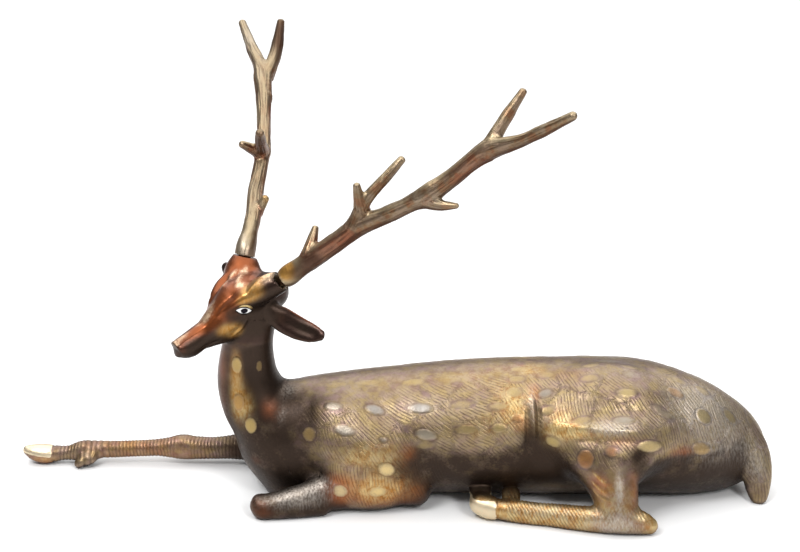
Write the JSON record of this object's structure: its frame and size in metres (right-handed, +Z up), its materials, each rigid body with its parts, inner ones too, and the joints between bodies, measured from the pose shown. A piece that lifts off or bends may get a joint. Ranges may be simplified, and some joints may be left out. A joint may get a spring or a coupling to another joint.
{
  "type": "brass deer figurine",
  "caption": "Cast brass stag lying down with its head turned, one foreleg stretched out and tall branching antlers that lift out of sockets.",
  "frame": {"origin": "on the flat underside of the belly, where it meets the surface the deer lies on", "axes": "+X runs from the chest to the tail, so the deer faces -X; +Y is the deer's right; +Z is up"},
  "size_m": [0.5302, 0.3148, 0.2971],
  "materials": {
    "patinated_brass": "dark brown patina over brass, red-brown on the head, worn bright on engraved spots and edges, lacquered",
    "antler_brass": "olive brown patina in long grooves, worn to pale brass along the ridges and tips"
  },
  "bodies": {
    "root": {"deer_body": "patinated_brass", "antler_left": "antler_brass", "antler_right": "antler_brass"}
  },
  "joints": []
}
